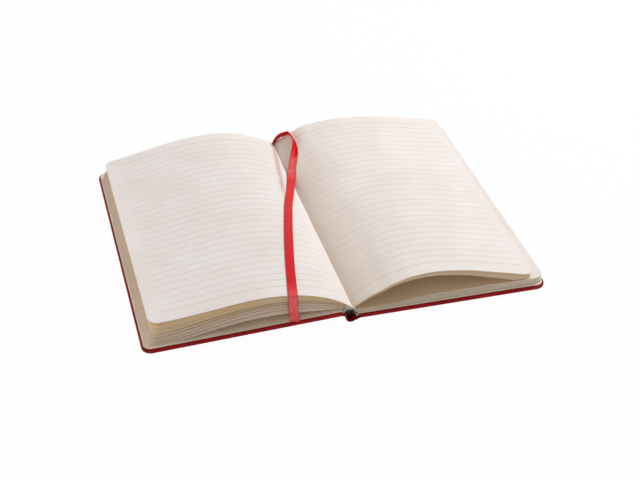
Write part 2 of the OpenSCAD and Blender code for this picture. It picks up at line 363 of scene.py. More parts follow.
@dataclass(frozen=True)
class RuledPaper:
    """Cream writing paper with 28 printed rules, the first and last of them stronger, and painted warm shade
    and a painted pink ribbon shadow where the mesh marks them.
    """

    name: str
    start: float
    end: float
    sheet: Colour = srgb(243, 236, 232)
    fleck: Colour = srgb(237, 228, 222)
    # Painted shade: a warm, darker tint for light let through leaves and shade near the gutter.
    under: Colour = srgb(240, 208, 172)
    rule: Colour = srgb(216, 201, 194)
    strong: Colour = srgb(218, 180, 152)
    # Painted shadow of the ribbon, pinkish, laid on the front page beside its crease.
    ribbon_shadow_tint: Colour = srgb(208, 180, 170)
    foot: float = -91.5
    head: float = 92.8
    gaps: int = 27
    width: float = 0.4
    line_end: float = 0.5
    rough: tuple[float, float] = (0.78, 0.92)
    gloss: float = 0.18

    def build(self) -> bpy.types.Material:
        """Makes the material.

        Returns:
            The material.
        """
        g = Graph(bpy.data.materials.new(self.name))
        place = g.place()
        x, y, _ = g.axes(place)
        # Rules are counted from 0 at the foot to gaps at the head.
        pitch = (self.head - self.foot) / self.gaps * MM
        row = g.math("DIVIDE", g.math("SUBTRACT", y, self.foot * MM), pitch)
        nearest = g.math("ROUND", row)
        away = g.math("MULTIPLY", g.math("ABSOLUTE", g.math("SUBTRACT", row, nearest)), pitch)
        half = self.width / 2 * MM
        line = g.remap(away, half * 0.6, half * 1.4, 1, 0, eased=True)
        inside = g.math("MULTIPLY", g.remap(nearest, -0.6, -0.4),
                        g.remap(nearest, self.gaps + 0.4, self.gaps + 0.6, 1, 0))
        across = g.math("MULTIPLY", g.remap(x, self.start * MM, (self.start + self.line_end) * MM),
                        g.remap(x, (self.end - self.line_end) * MM, self.end * MM, 1, 0))
        ink = g.remap(g.noise(place, 900, 2), 0.3, 0.6, 0.75, 1)
        line = g.math("MULTIPLY", g.math("MULTIPLY", line, ink), g.math("MULTIPLY", inside, across))
        outer = g.math("MAXIMUM", g.remap(nearest, 0.4, 0.6, 1, 0),
                       g.remap(nearest, self.gaps - 0.6, self.gaps - 0.4))
        tone = g.blend(g.spread(g.noise(place, 35, 4)), self.sheet, self.fleck)
        tone = g.blend(g.remap(g.noise(place, 1500, 3), 0.62, 0.74, 0, 0.25), tone, self.fleck)
        tone = g.blend(line, tone, g.blend(outer, self.rule, self.strong))
        # Painted warm shade, as far as the mesh's painted-shade number says.
        tone = g.blend(g.attribute("painted_shade"), tone, self.under)
        # Painted pink shadow of the ribbon, where the mesh marks it.
        tone = g.blend(g.attribute("rub"), tone, self.ribbon_shadow_tint)
        fibres = g.noise(g.stretched(place, (700, 1300, 900)), 1, 4)
        cockle = g.noise(place, 16, 1)
        return g.finish({
            "Base Color": tone, "Roughness": g.spread(fibres, *self.rough), "Specular IOR Level": self.gloss,
            "Sheen Weight": 0.06, "Sheen Roughness": 0.6,
            "Normal": g.bump(fibres, 0.16, 0.00004, g.bump(cockle, 0.06, 0.002))})


@dataclass(frozen=True)
class LeafEdges:
    """The cut edges of many leaves: fine streaks along the leaves, warm where light comes through."""

    name: str = "leaf_edges"
    cool: Colour = srgb(226, 213, 196)
    cool_deep: Colour = srgb(194, 179, 158)
    warm: Colour = srgb(228, 194, 146)
    warm_deep: Colour = srgb(200, 160, 110)
    rough: tuple[float, float] = (0.8, 0.92)
    gloss: float = 0.15

    def build(self) -> bpy.types.Material:
        """Makes the material.

        Returns:
            The material.
        """
        g = Graph(bpy.data.materials.new(self.name))
        place = g.place()
        x, y, _ = g.axes(place)
        leaf = g.attribute("leaf")

        def streaks(rate: float) -> bpy.types.NodeSocket:
            """Noise drawn out along the leaves, finer with a higher rate."""
            return g.noise(g.add("ShaderNodeCombineXYZ", {
                0: g.math("MULTIPLY", x, 9), 1: g.math("MULTIPLY", y, 9),
                2: g.math("MULTIPLY", leaf, rate)}).outputs[0], 1, 2, 0.6)

        broad, fine = streaks(0.09), streaks(0.6)
        shade = g.math("ADD", g.spread(broad, 0, 0.75), g.remap(fine, 0.35, 0.7, 0, 0.25))
        warmth = g.math("MULTIPLY", g.attribute("warm"), g.spread(g.noise(place, 30, 2), 0.75, 1))
        tone = g.blend(shade, g.blend(warmth, self.cool, self.warm),
                       g.blend(warmth, self.cool_deep, self.warm_deep))
        return g.finish({
            "Base Color": tone, "Roughness": g.spread(fine, *self.rough), "Specular IOR Level": self.gloss,
            "Normal": g.bump(g.math("ADD", broad, g.math("MULTIPLY", fine, 0.4)), 0.3, 0.0001)})


@dataclass(frozen=True)
class PlainPaper:
    """Heavier endpaper, unprinted, with the faint ripple of the glue under it."""

    name: str = "endpaper"
    sheet: Colour = srgb(252, 241, 222)
    patch: Colour = srgb(243, 228, 205)
    rough: tuple[float, float] = (0.76, 0.9)
    gloss: float = 0.2

    def build(self) -> bpy.types.Material:
        """Makes the material.

        Returns:
            The material.
        """
        g = Graph(bpy.data.materials.new(self.name))
        place = g.place()
        fibres = g.noise(place, 1100, 4)
        ripple = g.noise(place, 130, 3)
        tone = g.blend(g.spread(g.noise(place, 50, 4)), self.sheet, self.patch)
        return g.finish({
            "Base Color": tone, "Roughness": g.spread(fibres, *self.rough), "Specular IOR Level": self.gloss,
            "Normal": g.bump(fibres, 0.2, 0.00005, g.bump(ripple, 0.12, 0.0006))})


@dataclass(frozen=True)
class Satin:
    """Woven satin ribbon: long floats, painted highlights in patches, fine picks across, and firm edges."""

    name: str = "red_satin"
    colour: Colour = srgb(236, 16, 22)
    shade: Colour = srgb(188, 8, 14)
    shine: Colour = srgb(255, 122, 118)
    half: float = 3.0
    edge: float = 0.5
    pick: float = 0.28
    rough: tuple[float, float] = (0.42, 0.54)
    gloss: float = 0.1

    def build(self) -> bpy.types.Material:
        """Makes the material.

        Returns:
            The material.
        """
        g = Graph(bpy.data.materials.new(self.name))
        uv = g.add("ShaderNodeUVMap", uv_map="weave").outputs[0]
        across, along, _ = g.axes(uv)
        picks = g.math("SINE", g.math("MULTIPLY", along, math.tau / self.pick))
        floats = g.noise(g.stretched(uv, (9, 0.9, 1)), 1, 3)
        patches = g.noise(g.stretched(uv, (0.5, 0.16, 1)), 1, 2)
        edge = g.remap(g.math("ABSOLUTE", g.math("SUBTRACT", across, self.half)),
                       self.half - self.edge, self.half - self.edge + 0.2)
        tone = g.blend(g.remap(floats, 0.35, 0.65), self.shade, self.colour)
        # Painted highlight: the ribbon's listed gleams, broken into patches.
        gleam = g.math("MULTIPLY", g.attribute("shine"), g.remap(patches, 0.35, 0.65, 0.5, 1))
        tone = g.blend(gleam, tone, self.shine)
        tone = g.blend(g.math("MULTIPLY", edge, 0.5), tone, self.shade)
        height = g.math("ADD", g.math("MULTIPLY", picks, 0.3), g.math("ADD", floats, edge))
        return g.finish({
            "Base Color": tone, "Roughness": g.spread(floats, *self.rough), "Specular IOR Level": self.gloss,
            "Anisotropic": 0.5, "Normal": g.bump(height, 0.35, 0.00005)})


@dataclass(frozen=True)
class BandCloth:
    """Glazed navy thread of the bands, with paler turns that also paint the bead's highlight, and painted
    dark red shade low on their cloth.
    """

    name: str = "navy_thread"
    colour: Colour = srgb(6, 6, 11)
    worn: Colour = srgb(13, 13, 22)
    pale: Colour = srgb(150, 158, 190)
    # Painted shade low on the cloth, dark red, for the shaded hollow of the spine.
    foot: Colour = srgb(56, 6, 9)
    turn: float = 0.32
    painted_shade_top: tuple[float, float] = (4.5, 4.8)
    rough: tuple[float, float] = (0.3, 0.45)
    gloss: float = 0.12

    def build(self) -> bpy.types.Material:
        """Makes the material.

        Returns:
            The material.
        """
        g = Graph(bpy.data.materials.new(self.name))
        place = g.place()
        turns = g.attribute("turn")
        wave = g.math("SINE", g.math("MULTIPLY", turns, math.tau / self.turn))
        # Every fifth turn is paler: a stripe of the band that also paints the bead's highlight.
        pale = g.remap(g.math("SINE", g.math("MULTIPLY", turns, math.tau / (5 * self.turn))), 0.9, 0.97)
        fuzz = g.noise(place, 6000, 2)
        tone = g.blend(g.math("MULTIPLY", pale, 0.7), g.blend(fuzz, self.colour, self.worn), self.pale)
        # Painted shade: below this height the cloth turns dark red, for the shaded hollow of the spine.
        low, high = self.painted_shade_top
        tone = g.blend(g.remap(g.axes(place)[2], low * MM, high * MM), self.foot, tone)
        return g.finish({
            "Base Color": tone, "Roughness": g.spread(fuzz, *self.rough), "Specular IOR Level": self.gloss,
            "Normal": g.bump(wave, 0.5, 0.00006)})


@dataclass(frozen=True)
class GreyBoard:
    """Grey bookbinder's board with short fibres."""

    name: str = "grey_board"
    colour: Colour = srgb(148, 140, 126)
    fibre: Colour = srgb(112, 104, 92)

    def build(self) -> bpy.types.Material:
        """Makes the material.

        Returns:
            The material.
        """
        g = Graph(bpy.data.materials.new(self.name))
        place = g.place()
        fibres = g.noise(g.stretched(place, (900, 900, 2600)), 1, 4)
        tone = g.blend(g.remap(fibres, 0.35, 0.7), self.colour, self.fibre)
        return g.finish({"Base Color": tone, "Roughness": 0.9, "Specular IOR Level": 0.15,
                         "Normal": g.bump(fibres, 0.4, 0.0001)})


@dataclass(frozen=True)
class Gauze:
    """Open bookbinder's gauze, glued down: two crossing sets of threads."""

    name: str = "gauze"
    thread: Colour = srgb(216, 212, 202)
    glue: Colour = srgb(186, 176, 156)
    pitch: float = 0.9

    def build(self) -> bpy.types.Material:
        """Makes the material.

        Returns:
            The material.
        """
        g = Graph(bpy.data.materials.new(self.name))
        x, y, z = g.axes(g.place())
        rate = math.tau / (self.pitch * MM)
        weave = g.math("MAXIMUM", *(g.math("SINE", g.math("MULTIPLY", way, rate))
                                    for way in (y, g.math("ADD", x, z))))
        tone = g.blend(g.remap(weave, 0.2, 0.7), self.glue, self.thread)
        return g.finish({"Base Color": tone, "Roughness": 0.85, "Specular IOR Level": 0.2,
                         "Normal": g.bump(weave, 0.5, 0.0001)})


@dataclass(frozen=True)
class StudioFloor:
    """White sweep: white to the camera and in reflections, with a faint shadow kept."""

    name: str = "studio_floor"
    matte: Colour = (0.86, 0.86, 0.86)
    white: float = 0.97

    def build(self) -> bpy.types.Material:
        """Makes the material.

        Returns:
            The material.
        """
        g = Graph(bpy.data.materials.new(self.name))
        matte = g.add("ShaderNodeBsdfDiffuse", {"Color": self.matte})
        white = g.add("ShaderNodeEmission", {"Color": (1, 1, 1), "Strength": 1.0})
        both = g.add("ShaderNodeMixShader", {
            0: g.math("MULTIPLY", g.seen(), self.white), 1: matte.outputs[0], 2: white.outputs[0]})
        g.add("ShaderNodeOutputMaterial", {"Surface": both.outputs[0]})
        return g.owner


class Shape:
    """A mesh in the making: slabs, plates and tubes in millimetres, made one object at the end."""

    CORNER_STEPS = 8
    EDGE_STEPS = 4
    TUBE_SIDES = 12
    SHARP = math.radians(38)

    def __init__(self, name: str) -> None:
        """Starts an empty mesh with the numbers that the finishes read."""
        self.name = name
        self.bm = bmesh.new()
        new = self.bm.verts.layers.float.new
        # All but leaf and turn carry painted light: warmth of light let through the leaves, highlights and a
        # shadow, the ribbon's gleams, and shade.
        self.leaf, self.warm, self.rub = new("leaf"), new("warm"), new("rub")
        self.turn, self.shine, self.painted_shade = new("turn"), new("shine"), new("painted_shade")
        self.weave = self.bm.loops.layers.uv.new("weave")

    def slab(self, columns: int, rows: int, top: Place, under: Place,
             slots: tuple[int, int, int] = (0, 0, 0), leaves: tuple[float, float] = (0, 1),
             warm: tuple[float, float] = (0, 0)) -> None:
        """Adds a closed slab between two surfaces over one grid.

        Args:
            columns: Steps of the grid along u.
            rows: Steps of the grid along v.
            top: The upper surface, by u and v from 0 to 1, in millimetres.
            under: The lower surface, likewise.
            slots: Material slots of the top, the underside and the walls.
            leaves: Leaf counts at the underside and the top.
            warm: Warmth of the walls at the underside and the top.
        """
        made = bmesh.ops.create_grid(self.bm, x_segments=columns, y_segments=rows, size=0.5)["verts"]
        shares = {v: (v.co.x + 0.5, v.co.y + 0.5) for v in made}
        grown = bmesh.ops.extrude_face_region(self.bm, geom=faces_at(made))["geom"]
        low = [v for v in grown if isinstance(v, bmesh.types.BMVert)]
        for v in low:
            shares[v] = (v.co.x + 0.5, v.co.y + 0.5)
        for group, place, end in ((made, top, 1), (low, under, 0)):
            for v in group:
                v.co = place(*shares[v]) * MM
                v[self.leaf] = leaves[end]
                v[self.warm] = warm[end]
        upper = set(made)
        for f in faces_at(made + low):
            count = sum(v in upper for v in f.verts)
            kind = Kind.TOP if count == len(f.verts) else Kind.UNDER if count == 0 else Kind.WALL
            f.material_index = slots[kind.value]
            f.smooth = True
        for e in edges_at(made + low):
            kinds = {sum(v in upper for v in f.verts) in (0, len(f.verts)) for f in e.link_faces}
            e.smooth = len(kinds) == 1

    def plate(self, start: float, length: float, width: float, radius: float, low: float, high: float,
              rounding: float = 0.0) -> list[bmesh.types.BMVert]:
        """Adds a flat plate from x = start to length, with its two far corners rounded.

        Args:
            start: Where the near side lies along X. Its edges stay sharp.
            length: Where the far side lies along X.
            width: The plate's size along Y.
            radius: Radius of the far corners.
            low: Height of the underside.
            high: Height of the top.
            rounding: Rounding of the other edges.

        Returns:
            The plate's points, in millimetres until they are placed.
        """
        before = set(self.bm.verts)
        corners = bmesh.ops.create_grid(self.bm, x_segments=1, y_segments=1, size=0.5)["verts"]
        for v in corners:
            v.co = Vector((mix(start, length, v.co.x + 0.5), width * v.co.y, low))
        far = [v for v in corners if v.co.x > mix(start, length, 0.5)]
        bmesh.ops.bevel(self.bm, geom=far, offset=radius, offset_type="OFFSET", profile=0.5,
                        segments=self.CORNER_STEPS, affect="VERTICES", material=-1, clamp_overlap=True)
        ring = [v for v in self.bm.verts if v not in before]
        grown = bmesh.ops.extrude_face_region(self.bm, geom=faces_at(ring))["geom"]
        bmesh.ops.translate(self.bm, vec=(0, 0, high - low),
                            verts=[v for v in grown if isinstance(v, bmesh.types.BMVert)])
        if rounding > 0:
            points = [v for v in self.bm.verts if v not in before]
            flat = [e for e in edges_at(points)
                    if abs(e.verts[0].co.z - e.verts[1].co.z) < 1e-6
                    and not all(v.co.x < start + 1e-4 for v in e.verts)]
            bmesh.ops.bevel(self.bm, geom=flat, offset=rounding, offset_type="OFFSET", profile=0.5,
                            segments=self.EDGE_STEPS, affect="EDGES", material=-1, clamp_overlap=True)
        points = [v for v in self.bm.verts if v not in before]
        for f in faces_at(points):
            f.smooth = True
            f.normal_update()
        for e in edges_at(points):
            e.smooth = e.is_manifold and e.calc_face_angle(0) < self.SHARP
        return points

    def tube(self, line: Sequence[Vector], radii: Sequence[float]) -> None:
        """Adds a closed tube along a line that lies in a plane of constant y.

        Args:
            line: The line's points, in millimetres.
            radii: The tube's radius at each point.
        """
        before = set(self.bm.verts)
        far = 0.0

        def stand(index: int) -> Matrix:
            """The frame of the tube's ring at a point of its line."""
            ahead = (line[min(index + 1, len(line) - 1)] - line[max(index - 1, 0)]).normalized()
            side = Vector((0, 1, 0))
            up = ahead.cross(side).normalized()
            return Matrix((side, up, ahead)).transposed().to_4x4()

        ring = bmesh.ops.create_circle(self.bm, cap_ends=True, segments=self.TUBE_SIDES, radius=1.0)["verts"]
        base = {v: v.co.copy() for v in ring}
        face = next(f for f in ring[0].link_faces)
        for index, point in enumerate(line):
            if index:
                grown = bmesh.ops.extrude_face_region(self.bm, geom=[face])["geom"]
                fresh = [v for v in grown if isinstance(v, bmesh.types.BMVert)]
                old = face
                face = next(f for f in grown if isinstance(f, bmesh.types.BMFace))
                if index > 1:
                    bmesh.ops.delete(self.bm, geom=[old], context="FACES_ONLY")
                twins = {v: min(base, key=lambda b, v=v: (v.co - b.co).length) for v in fresh}
                base = {v: base[twins[v]] for v in fresh}
                ring = fresh
                far += (point - line[index - 1]).length
            turned = stand(index)
            for v in ring:
                v.co = (point + turned @ (base[v] * radii[index])) * MM
                v[self.turn] = far
        for f in faces_at(v for v in self.bm.verts if v not in before):
            f.smooth = True

    def lay(self, points: Sequence[bmesh.types.BMVert], matrix: Matrix) -> None:
        """Moves points given in millimetres to their place, in metres."""
        for v in points:
            v.co = (matrix @ v.co) * MM

    def done(self, finishes: Sequence[bpy.types.Material], body: Body | None,
             node: str) -> bpy.types.Object:
        """Makes the mesh an object, dresses it and joins it to the frame.

        Args:
            finishes: Its materials, by slot.
            body: The body that it moves with, or None if it is blended across a joint.
            node: The CAD node that it stands for.

        Returns:
            The object.
        """
        bmesh.ops.recalc_face_normals(self.bm, faces=self.bm.faces)
        mesh = bpy.data.meshes.new(self.name)
        self.bm.to_mesh(mesh)
        self.bm.free()
        for finish in finishes:
            mesh.materials.append(finish)
        piece = bpy.data.objects.new(self.name, mesh)
        bpy.context.scene.collection.objects.link(piece)
        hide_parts(node)
        if body:
            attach(piece, body.value)
        LOG.info("%s: %d faces", self.name, len(mesh.polygons))
        return piece


@dataclass
class Wardrobe:
    """All the finishes, each built once."""

    leatherette: bpy.types.Material = field(default_factory=Leatherette().build)
    front_page: bpy.types.Material = field(
        default_factory=RuledPaper("ruled_front", start=-118.5, end=-4.5).build)
    back_page: bpy.types.Material = field(
        default_factory=RuledPaper("ruled_back", start=6.5, end=120.0).build)
    edges: bpy.types.Material = field(default_factory=LeafEdges().build)
    endpaper: bpy.types.Material = field(default_factory=PlainPaper().build)
    satin: bpy.types.Material = field(default_factory=Satin().build)
    thread: bpy.types.Material = field(default_factory=BandCloth().build)
    board: bpy.types.Material = field(default_factory=GreyBoard().build)
    gauze: bpy.types.Material = field(default_factory=Gauze().build)


@dataclass
class Ribbon:
    """The satin ribbon marker, a flat cord that lies as its solid does.

    Its route, the way that it faces at each point of it and its gleams are chosen. A gleam
    has a place, counted in points of the route, and a strength.
    """

    lies_on: "Pages"
    width: float = 6.0
    thickness: float = 0.28
    crown: float = 0.12
    end_slant: float = 1.6
    page_from: float = 0.1
    over_page: tuple[float, float] = (-101.5, 100.8)
    clear: float = 0.3
    steps: int = 260
    route: tuple = (
        (0.8, 102.4, 6), (0.2, 102.4, 8.4), (-0.4, 102.2, 10.8), (1.4, 102, 14), (3.5, 101.9, 16.1),
        (5.7, 101.5, 17.3), (8.3, 100.8, 17.9), (10.1, 99, 18.5), (10.9, 95.9, 18.8), (11.1, 91.2, 18.8),
        (11.1, 86.8, 18.4), (10, 80, 17.5), (7.7, 72.5, 16.1), (5.2, 66, 14.4), (2.7, 59.5, 12.9),
        (0.6, 52, 12.4), (-2.4, 42.5, 12.7), (-6, 29.8, 14.4), (-9.6, 18, 16.4), (-13.2, 6, 18.2),
        (-16.8, -8.3, 20), (-20.4, -22.8, 21.5), (-24.3, -39.5, 22.9), (-28.1, -56.2, 24),
        (-31.3, -71.2, 24.8), (-34.3, -86.3, 25.4), (-36.6, -98, 25.9), (-37.2, -101.9, 26.2),
        (-37.4, -103.1, 24.6), (-37.4, -103.2, 20), (-37.3, -103.6, 15), (-37.1, -104.6, 10.5),
        (-36.9, -106, 7.9))
    faces: tuple = (
        (0, 1, 0), (-0.1, 1, 0.1), (-0.45, 0.65, 0.55), (-0.3, 0.78, 0.52), (-0.2, 0.84, 0.46),
        (-0.12, 0.85, 0.46), (0.1, 0.86, 0.44), (0.6, 0.75, 0.3), (0.9, 0.35, 0.3), (0.95, 0.15, 0.35),
        (0.93, 0.12, 0.42), (0.78, 0.1, 0.62), (0.45, 0.08, 0.88), (0.05, 0.05, 0.97), (-0.25, 0, 0.95),
        (0, 0, 1), (0.35, 0, 0.95), (0.5, 0, 0.87), (0.48, 0, 0.88), (0.44, 0, 0.9),
        (0.39, 0, 0.92), (0.35, 0, 0.94), (0.3, 0, 0.96), (0.26, 0, 0.97), (0.22, 0, 0.98),
        (0.18, 0, 0.98), (0.15, 0, 0.99), (0.1, -0.3, 0.95), (0, -1, 0.6),
        (0, -1, 0.05), (0, -1, -0.1), (0, -1, -0.3), (0, -1, -0.4))
    # Painted highlights along the ribbon: place in route points, and strength.
    gleams: tuple = (
        (0, 0), (11.8, 0), (12.9, 0.85), (14.2, 1), (16, 0.15), (25, 0), (26.4, 0.4), (27.6, 1), (32, 0.8))

    def stand(self, share: float) -> tuple[Vector, Vector, Vector]:
        """How the ribbon lies at a place of its route.

        Args:
            share: The place, from 0 at the spine to 1 at the cut end.

        Returns:
            Its middle, its way across and its way up.
        """
        ahead = (spline(self.route, share + 0.001) - spline(self.route, share - 0.001)).normalized()
        across = ahead.cross(spline(self.faces, share)).normalized()
        return spline(self.route, share), across, across.cross(ahead)

    def make(self, finishes: Wardrobe) -> bpy.types.Object:
        """Args:
            finishes: All the finishes.

        Returns:
            The ribbon's object.
        """
        shape = Shape("ribbon_strip")
        stands = [self.stand(i / self.steps) for i in range(self.steps + 1)]

        def side(lift: float) -> Place:
            """The strip's face at a height over its middle."""
            def at(u: float, v: float) -> Vector:
                """A point of that face, kept off the page that the ribbon lies on."""
                index = round(u * self.steps)
                middle, across, up = stands[index]
                q = v - 0.5
                point = middle + across * q * self.width + up * (lift + self.crown * (1 - (2 * q) ** 2))
                if index == self.steps:
                    point.z += self.end_slant * q
                if self.over_page[0] < point.y < self.over_page[1] and u > self.page_from:
                    point.z = max(point.z, self.lies_on.crest(point.x, point.y) + self.clear + lift)
                return point
            return at

        shape.slab(self.steps, 8, side(self.thickness / 2), side(-self.thickness / 2))
        lengths = [0.0]
        for a, b in zip(stands, stands[1:]):
            lengths.append(lengths[-1] + (b[0] - a[0]).length)
        nearest = {}
        # Each point takes the painted gleam of its nearest step.
        for v in shape.bm.verts:
            nearest[v] = min(range(self.steps + 1),
                             key=lambda i, point=v.co / MM: (stands[i][0] - point).length_squared)
            v[shape.shine] = stepped(self.gleams, nearest[v] / self.steps * (len(self.route) - 1))
        for f in shape.bm.faces:
            for loop in f.loops:
                middle, across, _ = stands[nearest[loop.vert]]
                loop[shape.weave].uv = (self.width / 2 + (loop.vert.co / MM - middle).dot(across),
                                        lengths[nearest[loop.vert]])
        piece = shape.done([finishes.satin], Body.BLOCK, "ribbon_marker")
        return piece


@dataclass
class CoverSizes:
    """Sizes that both covers share. The bends start before the hinge line and end after it."""

    width: float = 129.0
    height: float = 210.0
    board: float = 2.1
    skin: float = 0.3
    paper: float = 0.2
    corner: float = 6.5
    rounding: float = 0.75
    inset: float = 1.3
    head_square: float = 1.5
    lining_end: float = 0.8
    groove: float = 1.2
    hinge_x: float = 4.2
    cloth_bend: float = 0.3
    lining_bend: float = 1.1
    bend_end: float = 0.1

    @property
    def thick(self) -> float:
        """Thickness of the skinned board."""
        return self.board + 2 * self.skin


@dataclass
class Cover:
    """One cover: leatherette over board up to the spine, and the endpaper pasted on its inside."""

    name: str
    body: Body
    side: int
    hinge_h: float
    cloth_path: tuple
    lining_path: tuple
    sizes: CoverSizes = field(default_factory=CoverSizes)

    @property
    def tilt(self) -> float:
        """Angle by which the cover slopes down to its fore edge."""
        return math.asin(self.hinge_h / self.sizes.width)

    def place(self) -> Matrix:
        """The cover's place, from its own frame with the hinge line on Y."""
        turn = Matrix.Translation((self.sizes.hinge_x, 0, self.hinge_h)) @ Matrix.Rotation(self.tilt, 4, "Y")
        return Matrix.Diagonal((self.side, 1, 1, 1)) @ turn

    def floor(self, x: float) -> float:
        """Height of the cover's lined inner face.

        Args:
            x: The place along X, on either side.

        Returns:
            The height.
        """
        s = self.sizes
        slope = (abs(x) - s.hinge_x) * math.tan(self.tilt)
        return self.hinge_h - slope + (s.thick + s.paper) / math.cos(self.tilt)

    def strip(self, shape: Shape, path: Sequence[tuple[float, float]], half: float, lift: float) -> None:
        """Adds a sheet that bends over the hinge along a path.

        Args:
            shape: The mesh to add it to.
            path: Points of the sheet's lower face in X and Z, from the spine outwards.
            half: Half the sheet's size along the spine.
            lift: The sheet's thickness, upwards and outwards.
        """
        line = [(x * self.side, 0.0, z) for x, z in path]
        upper, lower = (bent(line, depth * self.side, -half, half, 0.01) for depth in (lift, 0))
        shape.slab(28, 6, upper, lower)

    def bend(self, piece: bpy.types.Object, before: float) -> None:
        """Lets a piece bend between the block and the cover.

        Args:
            piece: The piece.
            before: How far before the hinge line the bend starts.
        """
        s = self.sizes
        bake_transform(piece, Body.BLOCK.value, self.body.value,
                 start=(self.side * (s.hinge_x - before) * MM, 0, self.hinge_h * MM),
                 end=(self.side * (s.hinge_x + s.groove - s.bend_end) * MM, 0, self.hinge_h * MM))

    def make(self, finishes: Wardrobe) -> None:
        """Makes the cover's cloth and lining, and bends both over the hinge.

        Args:
            finishes: All the finishes.
        """
        s = self.sizes
        cloth = Shape(f"{self.name}_cloth")
        points = cloth.plate(s.groove, s.width, s.height, s.corner, 0, s.thick, s.rounding)
        # Marks the rounded edges for the leatherette's painted highlight.
        for v in points:
            edge = min(s.width - v.co.x, s.height / 2 - abs(v.co.y))
            v[cloth.rub] = 1.0 if edge < s.rounding * 0.8 else 0.0
        cloth.lay(points, self.place())
        self.strip(cloth, self.cloth_path, s.height / 2, s.skin)
        piece = cloth.done([finishes.leatherette], None, f"{self.name}_leatherette")
        self.bend(piece, s.cloth_bend)

        lining = Shape(f"{self.name}_lining")
        points = lining.plate(s.groove - s.paper, s.width - s.inset, s.height - 2 * s.head_square,
                              s.corner - s.inset, s.thick, s.thick + s.paper)
        lining.lay(points, self.place())
        self.strip(lining, self.lining_path, s.height / 2 - s.head_square - s.lining_end, s.paper)
        piece = lining.done([finishes.endpaper], None, f"{self.name}_endpaper")
        self.bend(piece, s.lining_bend)


@dataclass
class Spine:
    """The skin of the spine, curled down in a U, and the bands on the back of the pages.

    A point of a bead's route is given from its end of the bead's line, -1 or 1, in X and Z.
    """

    radius: float = 3.6
    shift: float = -0.3
    skin: float = 0.3
    half: float = 105.8
    hem: float = 14.0
    hem_thick: float = 0.24
    hem_inset: float = 0.25
    wall_top: float = 4.35
    flare_z: float = 1.0
    flare_x: float = 3.9
    bead: float = 0.62
    bead_line: float = 2.3
    bead_top: float = 6.6
    bead_route: tuple = (
        (-1, -0.5, -1.3), (-1, -0.1, -0.35), (-1, 0.9, 0), (1, -0.9, 0.1), (1, 0, -0.3), (1, 0.35, -1.2))
    bead_steps: int = 60
    page_end: float = 102.0
    glue: float = 0.05
    band_depth: float = 0.3

    def outline(self) -> list[tuple[float, float]]:
        """Outer face of the curled skin.

        Returns:
            Its points in X and Z, from the front hinge round to the back hinge.
        """
        end = math.degrees(math.asin((self.flare_z - self.radius) / self.radius))
        angles = [math.radians(180 + (180 + end) * i / 22) for i in range(23)]
        curl = [(self.shift + self.radius * math.cos(a), self.radius + self.radius * math.sin(a))
                for a in angles]
        left = self.shift - self.radius
        return [(left, self.wall_top), (left, self.radius + 0.4), *curl, (curl[-1][0] + 0.8, self.flare_z),
                (self.flare_x, self.flare_z)]

    def make(self, finishes: Wardrobe) -> None:
        """Makes the curled skin and the two bands.

        Args:
            finishes: All the finishes.
        """
        line = [(x, 0.0, z) for x, z in self.outline()]
        shape = Shape("spine_cloth")

        def sheet(rows: int, low: float, high: float, y0: float, y1: float) -> None:
            """Adds a curled sheet between two depths inwards and two places along the spine."""
            shape.slab(60, rows, bent(line, high, y0, y1, 0.004), bent(line, low, y0, y1, 0.004))

        sheet(6, 0, self.skin, -self.half, self.half)
        for end in (-1, 1):
            sheet(3, self.skin - 0.02, self.skin + self.hem_thick, end * (self.half - self.hem),
                  end * (self.half - self.hem_inset))
        # Marks the last 1.2 mm at each end of the skin for the leatherette's painted highlight.
        for v in shape.bm.verts:
            v[shape.rub] = smooth((abs(v.co.y) / MM - self.half + 1.2) / 1.2)
        shape.done([finishes.leatherette], Body.BLOCK, "spine_leatherette")
        for name, end in (("head", 1), ("tail", -1)):
            self.band(name, end, finishes)

    def band(self, name: str, end: int, finishes: Wardrobe) -> None:
        """Makes a band: a wound bead round the end of the spine, and behind it a dark cloth put where the
        spine's hollow lies in shade.

        Args:
            name: The end's name.
            end: 1 at the head, -1 at the tail.
            finishes: All the finishes.
        """
        shape = Shape(f"{name}_bead")
        y = end * (self.page_end + self.bead + self.glue)
        left, right = self.shift - self.bead_line, self.shift + self.bead_line
        top, last = self.bead_top - self.bead, self.bead_steps
        route = [((left if side < 0 else right) + x, y, top + z) for side, x, z in self.bead_route]
        line = [spline(route, i / last) for i in range(last + 1)]
        shape.tube(line, [self.bead * (0.8 if i in (0, last) else 1 + 0.05 * math.sin(i * 1.9))
                          for i in range(last + 1)])

        def cloth(depth: float) -> Place:
            """A face of the band's dark cloth, which hangs below the bead on the folds of the leaves in place
            of their shade.
            """
            def at(u: float, v: float) -> Vector:
                """A point of that face."""
                x = mix(left, right, u)
                low = self.radius - math.sqrt(max(0.0, self.bead_line ** 2 - (x - self.shift) ** 2))
                return Vector((x, end * (self.page_end + depth), mix(low, top, v)))
            return at

        shape.slab(12, 6, cloth(self.band_depth), cloth(self.glue))
        shape.done([finishes.thread], Body.BLOCK, f"{name}_band")


